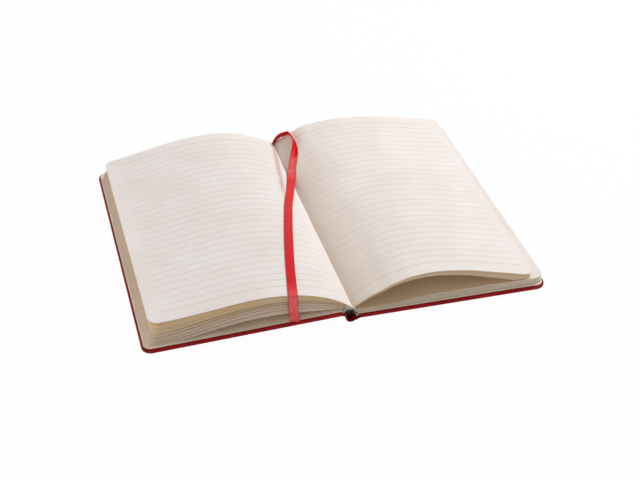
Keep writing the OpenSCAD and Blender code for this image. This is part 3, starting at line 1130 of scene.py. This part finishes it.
@dataclass
class PageSizes:
    """Sizes of the two piles of pages.

    The front pile's start with front, and the back pile's with back, or with upper or lower for
    the leaves above and below its tunnel.
    """

    height: float = 204.0
    reach: float = 130.7
    corner: float = 6.5
    leaf: float = 0.11
    gap: float = 0.1
    touch: float = 0.015
    gutter_x: float = 0.45
    gutter_lean: float = -1.55
    gutter_h: float = 7.5
    head_rise: float = 2.3
    rise_fade: float = 9.0
    front_edge: float = 17.5
    front_arch: float = 15.0
    front_bow: tuple[float, float] = (0.885, 1.68)
    front_lift: float = 5.6
    front_lift_bow: tuple[float, float] = (1.7, 1.7)
    front_lift_end: float = 0.86
    front_twist: float = 4.0
    front_twist_power: float = 2.4
    front_open: float = 127.5
    front_leaves: int = 130
    front_shade: float = 0.5
    crease_rise: float = 0.6
    crease_ridge: tuple[float, float] = (-1.4, 1.3)
    # Shift and half width of the ribbon's painted shadow beside the crease.
    ribbon_shadow_band: tuple[float, float] = (0.1, 1.6)
    crease_from: tuple[float, float] = (0.8, 98.0)
    crease_slope: float = 0.153
    crease_fade: tuple[float, float] = (12.0, 25.0)
    back_edge: float = 11.6
    back_arch: float = 16.2
    back_bow: tuple[float, float] = (0.866, 1.526)
    back_reach: float = 132.4
    upper_thick: float = 1.2
    upper_fan: float = 5.0
    upper_inset: float = 7.0
    upper_lean: float = -1.2
    upper_leaves: int = 50
    upper_over: float = 0.2
    lower_thick: float = 5.3
    lower_start: float = 0.44
    lower_swell: float = 0.45
    lower_fall: float = 0.15
    lower_lean: float = 1.0
    lower_leaves: int = 55
    lower_shade: tuple[float, float] = (9.0, 8.0)
    gutter_shade: float = 0.32
    gutter_fade: float = 26.0
    step_in: float = 0.12
    stray: float = 0.22
    end_off: float = 0.08
    end_stray: float = 0.07
    wave: float = 0.1
    wave_from: float = 30.0
    front_start: float = -3.0
    back_start: float = 4.0
    back_short: float = 0.4
    back_leaves: int = 60
    back_warm: tuple[float, float] = (0.0, 0.35)
    spine_shift: float = -0.3
    spine_h: float = 3.6
    back_r: float = 2.7


def hump(u: float, rise: float, fall: float) -> float:
    """A hump from 0 to 1 and back to 0 as u runs from 0 to 1."""
    peak = rise / (rise + fall)
    return max(u, 0.0) ** rise * max(1 - u, 0.0) ** fall / (peak ** rise * (1 - peak) ** fall)


@dataclass(frozen=True)
class Gather:
    """A gather of leaves, between two shares of its pile.

    Its warmth, painted light let through the leaves, runs from its lowest leaf to its highest. The slit
    below it is gap wide, and the one above it top_gap.
    """

    low: float
    high: float
    bundles: int
    reach: float
    back_off: float
    warm: tuple[float, float]
    gap: float = 0.35
    top_gap: float = 0.35


@dataclass
class Pages:
    """The two arched piles of leaves on one glued back."""

    front: Cover
    back: Cover
    sizes: PageSizes = field(default_factory=PageSizes)
    back_twist: tuple = (
        (1.7, 0), (12, 0.9), (20, 1.35), (30, 0.2), (40, -0.5), (55, -0.8), (80, -0.45), (100, 0.4),
        (121, 1.3), (131, 1.6))
    front_gathers: tuple = (
        Gather(0.0, 0.22, 4, 130.7, 0.75, (0.0, 0.1)),
        Gather(0.22, 0.38, 3, 130.2, 0.6, (0.15, 0.3)),
        Gather(0.38, 0.52, 3, 129.8, 0.5, (0.35, 0.5)),
        Gather(0.52, 0.65, 3, 129.3, 0.3, (0.6, 0.7), 0.6, 0.6),
        Gather(0.65, 1.0, 7, 127.3, 0.0, (0.8, 1.0), 0.6))

    def gutter(self, y: float) -> float:
        """Where the gutter lies along X: it wanders to the front pile's side towards the head."""
        s = self.sizes
        return s.gutter_x + s.gutter_lean * y / (s.height / 2)

    def rise(self, x: float, y: float) -> float:
        """Height that the gutter gains towards the head, and that fades out away from it."""
        s = self.sizes
        return s.head_rise * (0.5 + y / s.height) * math.exp(-((x - self.gutter(y)) / s.rise_fade) ** 2)

    def front_share(self, x: float, y: float = 0.0) -> float:
        """Share of the way from the gutter to the front pile's fore edge."""
        gutter = self.gutter(y)
        return min(1.0, max(0.0, (gutter - x) / (gutter + self.sizes.reach)))

    def back_share(self, x: float, y: float = 0.0) -> float:
        """Share of the way from the gutter to the back pile's fore edge."""
        gutter = self.gutter(y)
        return min(1.0, max(0.0, (x - gutter) / (self.sizes.reach - gutter)))

    def crease(self, x: float, y: float, shift: float, width: float) -> float:
        """Share of the front page's crease, a line that leaves the gutter at the head.

        Args:
            x: The place along X.
            y: The place along the spine.
            shift: How far the crease's ridge, or the ribbon's painted shadow beside it, lies outside its
                line.
            width: Half its width.

        Returns:
            The share, 1 on the line and 0 well away from it.
        """
        s = self.sizes
        away = self.gutter(y) - x - s.crease_from[0] - s.crease_slope * (s.crease_from[1] - y) - shift
        return smooth((y - s.crease_fade[0]) / s.crease_fade[1]) * math.exp(-(away / width) ** 2)

    def front_top(self, x: float, y: float) -> float:
        """Height of the front pile's top, which is twisted: higher at the tail's fore edge.

        Args:
            x: The place along X.
            y: The place along the spine.

        Returns:
            The height.
        """
        s, t = self.sizes, self.front_share(x, y)
        flat = s.gutter_h + (s.front_edge - s.gutter_h) * t + s.front_arch * hump(t, *s.front_bow)
        twist = s.front_twist * t ** s.front_twist_power * y / (s.height / 2)
        return flat - twist + self.rise(x, y) + s.crease_rise * self.crease(x, y, *s.crease_ridge)

    def front_level(self, x: float, y: float, share: float) -> float:
        """Height of a leaf of the front pile.

        Args:
            x: The place along X.
            y: The place along the spine.
            share: The leaf's share of the pile, from 0 at the cover to 1 at the top.

        Returns:
            The height.
        """
        s, t = self.sizes, self.front_share(x)
        under = self.front.floor(x) + s.gap + s.front_lift * hump(t / s.front_lift_end, *s.front_lift_bow)
        return under + share ** (1 + t ** 4) * max(0.0, self.front_top(x, y) - under)

    def back_top(self, x: float, y: float) -> float:
        """Height of the back pile's top, with its own twist.

        Args:
            x: The place along X.
            y: The place along the spine.

        Returns:
            The height.
        """
        s, t = self.sizes, self.back_share(x, y)
        flat = s.gutter_h + (s.back_edge - s.gutter_h) * t + s.back_arch * hump(t, *s.back_bow)
        return flat + stepped(self.back_twist, x) * y / (s.height / 2) + self.rise(x, y)

    def crest(self, x: float, y: float) -> float:
        """Height of the open page at a place, on either side of the gutter."""
        return self.back_top(x, y) if x > self.gutter(y) else self.front_top(x, y)

    def lower_top(self, x: float) -> float:
        """Height of the top of the back pile's lower leaves.

        Args:
            x: The place along X.

        Returns:
            The height.
        """
        s, t = self.sizes, self.back_share(x)
        swell = math.sin(math.radians(90 * min(1, t / s.lower_swell))) ** 5
        thick = s.lower_thick * mix(s.lower_start, 1, swell) * (1 - s.lower_fall * t ** 4)
        return self.back.floor(x) + s.gap + thick

    def upper_under(self, x: float, y: float) -> float:
        """Height of the underside of the back pile's upper leaves.

        Args:
            x: The place along X.
            y: The place along the spine.

        Returns:
            The height.
        """
        s = self.sizes
        thick = s.upper_thick + s.upper_fan * self.back_share(x)
        return max(self.back_top(x, y) - thick, self.lower_top(x) + s.upper_over)

    def plan(self, side: int, start: float | None, reach: float, back_off: float, u: float, v: float,
             lean: float = 0.0) -> tuple[float, float]:
        """The place on the table of a point of a leaf with rounded fore-edge corners.

        Shares of u past the bend go round a corner, and those before it crowd towards the gutter.

        Args:
            side: -1 for the front pile, 1 for the back pile.
            start: Where the leaf starts, as a distance from the middle towards its side, or None
                for the gutter.
            reach: Where its fore edge lies.
            back_off: How far its head and tail edges lie inside the page's.
            u: Share of the way from start to reach.
            v: Share of the way from tail to head.
            lean: Extra reach at the tail less that at the head.

        Returns:
            X and Y.
        """
        s = self.sizes
        half, r, bend = s.height / 2 - back_off, s.corner, 0.8
        reach += lean * (0.5 - v)
        if start is None:
            start = side * self.gutter(mix(-half, half, v))
        if u < bend:
            x, inset = mix(start, reach - r, (u / bend) ** 1.35), 0.0
        else:
            angle = (u - bend) / (1 - bend) * math.pi / 2
            x, inset = reach - r + r * math.sin(angle), r * (1 - math.cos(angle))
        return side * x, mix(-half + inset, half - inset, v)

    def leaf_pile(self, shape: Shape, side: int, start: float, gather: Gather,
                  level: Callable[[float, float, float], float], leaves: float, lean: float = 0.0) -> None:
        """Adds a gather as bundles of leaves whose edges don't quite line up.

        Args:
            shape: The mesh to add it to.
            side: -1 for the front pile, 1 for the back pile.
            start: Where the leaves start, towards their side.
            gather: The gather.
            level: Height at x, y and a share of the pile.
            leaves: Leaves in the whole pile.
            lean: Extra reach at the tail less that at the head.
        """
        s = self.sizes
        for i in range(gather.bundles):
            low = mix(gather.low, gather.high, i / gather.bundles)
            high = mix(gather.low, gather.high, (i + 1) / gather.bundles)
            reach = gather.reach - s.step_in * i + s.stray * math.sin(7.3 * i + 31 * gather.low)
            off = gather.back_off + s.end_off + s.end_stray * math.sin(5.1 * i + 17 * gather.low)
            under_gap = gather.gap / 2 if i == 0 and gather.low > 0 else s.touch
            over_gap = gather.top_gap / 2 if i == gather.bundles - 1 else s.touch

            def face(share: float, shift: float, reach: float = reach, off: float = off) -> Place:
                """A face of the bundle."""
                def at(u: float, v: float) -> Vector:
                    """A point of that face, with the slits wider halfway out."""
                    x, y = self.plan(side, start, reach, off, u, v, lean)
                    wider = 1 + hump(abs(x) / gather.reach, 1.4, 1.1) if abs(shift) > s.touch else 1.0
                    return Vector((x, y, level(x, y, share) + shift * wider))
                return at

            warm = tuple(mix(*gather.warm, k / gather.bundles) for k in (i, i + 1))
            shape.slab(34, 10, face(high, -over_gap), face(low, under_gap), (0, 0, 1),
                       (low * leaves, high * leaves), warm)

    def open_leaf(self, name: str, side: int, reach: float, top: Callable[[float, float], float],
                  page: bpy.types.Material, finishes: Wardrobe, lean: float = 0.0) -> None:
        """Makes the leaf that lies open on a pile, with the soft waves of a thin sheet.

        Args:
            name: The leaf's name.
            side: -1 for the front pile, 1 for the back pile.
            reach: Where its fore edge lies.
            top: Height of the pile's top at x and y.
            page: The finish of its page.
            finishes: All the finishes.
            lean: Extra reach at the tail less that at the head.
        """
        s = self.sizes
        shape = Shape(name)

        def face(shift: float) -> Place:
            """A face of the leaf."""
            def at(u: float, v: float) -> Vector:
                """A point of that face."""
                x, y = self.plan(side, None, reach, 0.0, u, v, lean)
                away = min(1.0, abs(x - self.gutter(y)) / s.wave_from)
                wave = s.wave + s.wave * math.sin(x * 0.11 + y * 0.045) * math.sin(y * 0.06 + 1) * away
                return Vector((x, y, top(x, y) + wave * away + shift))
            return at

        shape.slab(110, 56, face(0.0), face(-s.leaf), (0, 0, 1), (0, 1), (0.3, 0.3))
        # Painted shade: warm near the gutter on the back page, and the ribbon's pink shadow beside the crease
        # on the front page.
        for v in shape.bm.verts:
            x, y = v.co.x / MM, v.co.y / MM
            away = abs(x - self.gutter(y))
            v[shape.painted_shade] = s.gutter_shade * math.exp(-away / s.gutter_fade) if side > 0 else 0.0
            v[shape.rub] = self.crease(x, y, *s.ribbon_shadow_band) if side < 0 else 0.0
        shape.done([page, finishes.edges], Body.BLOCK, "page_block")

    def make(self, finishes: Wardrobe) -> None:
        """Makes both piles and their glued back.

        Args:
            finishes: All the finishes.
        """
        s = self.sizes
        front = Shape("front_leaves")
        for gather in self.front_gathers:
            self.leaf_pile(front, -1, -s.front_start, gather, self.front_level, s.front_leaves)
        # Painted warm shade: full on the pile's underside, less on the rest of its leaves.
        for v in front.bm.verts:
            v[front.painted_shade] = 1.0 if v[front.leaf] == 0 else s.front_shade
        front.done([finishes.front_page, finishes.edges], Body.BLOCK, "page_block")

        upper_reach = s.back_reach - s.upper_inset
        upper = Shape("back_upper_leaves")
        self.leaf_pile(upper, 1, s.back_start, Gather(0, 1, 6, upper_reach, 0.15, (0.45, 0.85)),
                       lambda x, y, share: mix(self.upper_under(x, y), self.back_top(x, y), share),
                       s.upper_leaves, s.upper_lean)
        upper.done([finishes.back_page, finishes.edges], Body.BLOCK, "page_block")

        lower = Shape("back_lower_leaves")
        self.leaf_pile(lower, 1, s.back_start, Gather(0, 1, 7, s.back_reach, 0.0, (0.0, 0.1)),
                       lambda x, y, share: mix(self.back.floor(x) + s.gap, self.lower_top(x), share),
                       s.lower_leaves, s.lower_lean)
        # Painted warm shade on the lower leaves, fading out where the upper leaves end.
        for v in lower.bm.verts:
            v[lower.painted_shade] = 1 - smooth((v.co.x / MM - upper_reach + s.lower_shade[0]) / s.lower_shade[1])
        lower.done([finishes.back_page, finishes.edges], Body.BLOCK, "page_block")

        self.open_leaf("front_open_leaf", -1, s.front_open, self.front_top, finishes.front_page, finishes)
        self.open_leaf("back_open_leaf", 1, upper_reach + s.upper_over, self.back_top, finishes.back_page,
                       finishes, s.upper_lean)
        self.glued_back(finishes)

    def glued_back(self, finishes: Wardrobe) -> None:
        """Makes the folds of the leaves, glued to a rounded back.

        Args:
            finishes: All the finishes.
        """
        s = self.sizes
        half = s.height / 2 - s.back_short

        def top(u: float, v: float) -> Vector:
            """A point of the folds' upper face, just under the open leaves."""
            x, y = mix(s.front_start, s.back_start, u), mix(-half, half, v)
            return Vector((x, y, self.crest(x, y) - s.leaf - 0.05))

        def under(u: float, v: float) -> Vector:
            """A point of the rounded back, or of the flat beside it on the back cover."""
            x, y = mix(s.front_start, s.back_start, u), mix(-half, half, v)
            round_x = min(s.back_r, abs(x - s.spine_shift))
            low = s.spine_h - math.sqrt(s.back_r ** 2 - round_x ** 2)
            if x > s.spine_shift + s.back_r - 0.05:
                low = self.back.floor(x) + s.gap
            return Vector((x, y, low))

        glued = Shape("glued_back")
        glued.slab(28, 8, top, under, (0, 0, 1), (0, s.back_leaves), s.back_warm)
        glued.done([finishes.endpaper, finishes.edges], Body.BLOCK, "page_block")


@dataclass(frozen=True)
class Lamp:
    """A square soft lamp that looks at the notebook: its place and side in metres, its power in watts."""

    name: str
    place: tuple[float, float, float]
    side: float
    power: float
    colour: Colour = (1.0, 1.0, 1.0)


@dataclass
class Studio:
    """The camera, the white floor and the soft lights, in metres and radians."""

    eye: tuple[float, float, float] = (-0.19453, -0.74034, 0.53279)
    yaw: float = 0.26677
    pitch: float = 0.61588
    roll: float = 0.0044
    lens: float = 75.36
    sky_colour: Colour = (0.8, 0.8, 0.8)
    sky: float = 0.5
    floor_size: float = 3.0
    floor_drop: float = 0.0003
    lamps: tuple[Lamp, ...] = (
        Lamp("key", (0.86, 0.4, 0.9), 0.4, 11.45, (1.0, 0.995, 0.99)),
        Lamp("side", (-1.15, 0.05, 0.24), 0.6, 4.2),
        Lamp("low_front", (-0.15, -1.1, 0.2), 0.5, 0.95))

    def camera(self) -> None:
        """Sets up the camera at the photograph's place."""
        level = math.cos(self.pitch)
        ahead = Vector((math.sin(self.yaw) * level, math.cos(self.yaw) * level, -math.sin(self.pitch)))
        right = Vector((math.cos(self.yaw), -math.sin(self.yaw), 0))
        up = right.cross(ahead)
        c, s = math.cos(self.roll), math.sin(self.roll)
        right, up = right * c + up * s, up * c - right * s
        data = bpy.data.cameras.new("photo_camera")
        data.lens = self.lens
        data.sensor_width = 36
        data.sensor_fit = "HORIZONTAL"
        data.clip_start = 0.01
        camera = bpy.data.objects.new("photo_camera", data)
        camera.matrix_world = Matrix.Translation(self.eye) @ Matrix((right, up, -ahead)).transposed().to_4x4()
        bpy.context.scene.collection.objects.link(camera)
        bpy.context.scene.camera = camera

    def hang(self, lamp: Lamp) -> None:
        """Hangs a lamp at its place.

        Args:
            lamp: The lamp.
        """
        data = bpy.data.lights.new(lamp.name, "AREA")
        data.size = lamp.side
        data.energy = lamp.power
        data.color = lamp.colour
        light = bpy.data.objects.new(lamp.name, data)
        light.location = lamp.place
        light.rotation_euler = (-Vector(lamp.place)).to_track_quat("-Z", "Y").to_euler()
        bpy.context.scene.collection.objects.link(light)

    def world(self) -> None:
        """Sets an even pale world, brighter to the camera than to the notebook."""
        g = Graph(bpy.data.worlds.new("studio_world"))
        back = g.add("ShaderNodeBackground", {0: self.sky_colour, 1: g.remap(g.seen(), 0, 1, self.sky, 1.0)})
        g.add("ShaderNodeOutputWorld", {0: back.outputs[0]})
        bpy.context.scene.world = g.owner

    def floor(self) -> None:
        """Lays the floor under the notebook."""
        shape = bmesh.new()
        bmesh.ops.create_grid(shape, x_segments=8, y_segments=8, size=self.floor_size)
        bmesh.ops.translate(shape, vec=(0, 0, -self.floor_drop), verts=shape.verts)
        mesh = bpy.data.meshes.new("floor")
        shape.to_mesh(mesh)
        shape.free()
        mesh.materials.append(StudioFloor().build())
        floor = bpy.data.objects.new("floor", mesh)
        bpy.context.scene.collection.objects.link(floor)

    def make(self) -> None:
        """Sets up everything but the camera."""
        self.world()
        self.floor()
        for lamp in self.lamps:
            self.hang(lamp)
        LOG.info("studio: %d lamps", len(self.lamps))
        bpy.context.scene.view_settings.view_transform = "Standard"


def dress_nodes(finishes: Wardrobe) -> None:
    """Gives the CAD nodes that no piece replaces their finishes.

    Args:
        finishes: All the finishes.
    """
    for node, finish in (("front_board", finishes.board), ("back_board", finishes.board),
                         ("spine_card", finishes.board), ("spine_gauze", finishes.gauze)):
        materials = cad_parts[node].data.materials
        materials.clear()
        materials.append(finish)


def main() -> None:
    """Builds the notebook's sub-assemblies in order."""
    logging.basicConfig(level=logging.INFO, format="%(name)s: %(message)s")
    studio = Studio()
    studio.camera()
    front = Cover("front", Body.FRONT, side=-1, hinge_h=4.7,
                  cloth_path=((3.9, 4.35), (3.9, 4.5), (3.98, 4.66), (4.2, 4.7), (4.8, 4.68), (5.4, 4.656)),
                  lining_path=((3.15, 7.5), (3.5, 6.5), (4.0, 5.6), (4.6, 5.25), (5.1, 5.45), (5.28, 6.2),
                               (5.3, 7.35)))
    back = Cover("back", Body.BACK, side=1, hinge_h=1.0,
                 cloth_path=((3.9, 1.0), (4.1, 1.0), (4.5, 0.998), (5.0, 0.994), (5.4, 0.99)),
                 lining_path=((2.9, 4.05), (3.3, 3.1), (3.9, 2.0), (4.6, 1.45), (5.05, 1.5), (5.3, 2.1),
                              (5.32, 3.6)))
    pages = Pages(front, back)
    finishes = Wardrobe()
    Ribbon(pages).make(finishes)
    front.make(finishes)
    back.make(finishes)
    Spine().make(finishes)
    pages.make(finishes)
    dress_nodes(finishes)
    studio.make()


if __name__ == "__main__":
    main()
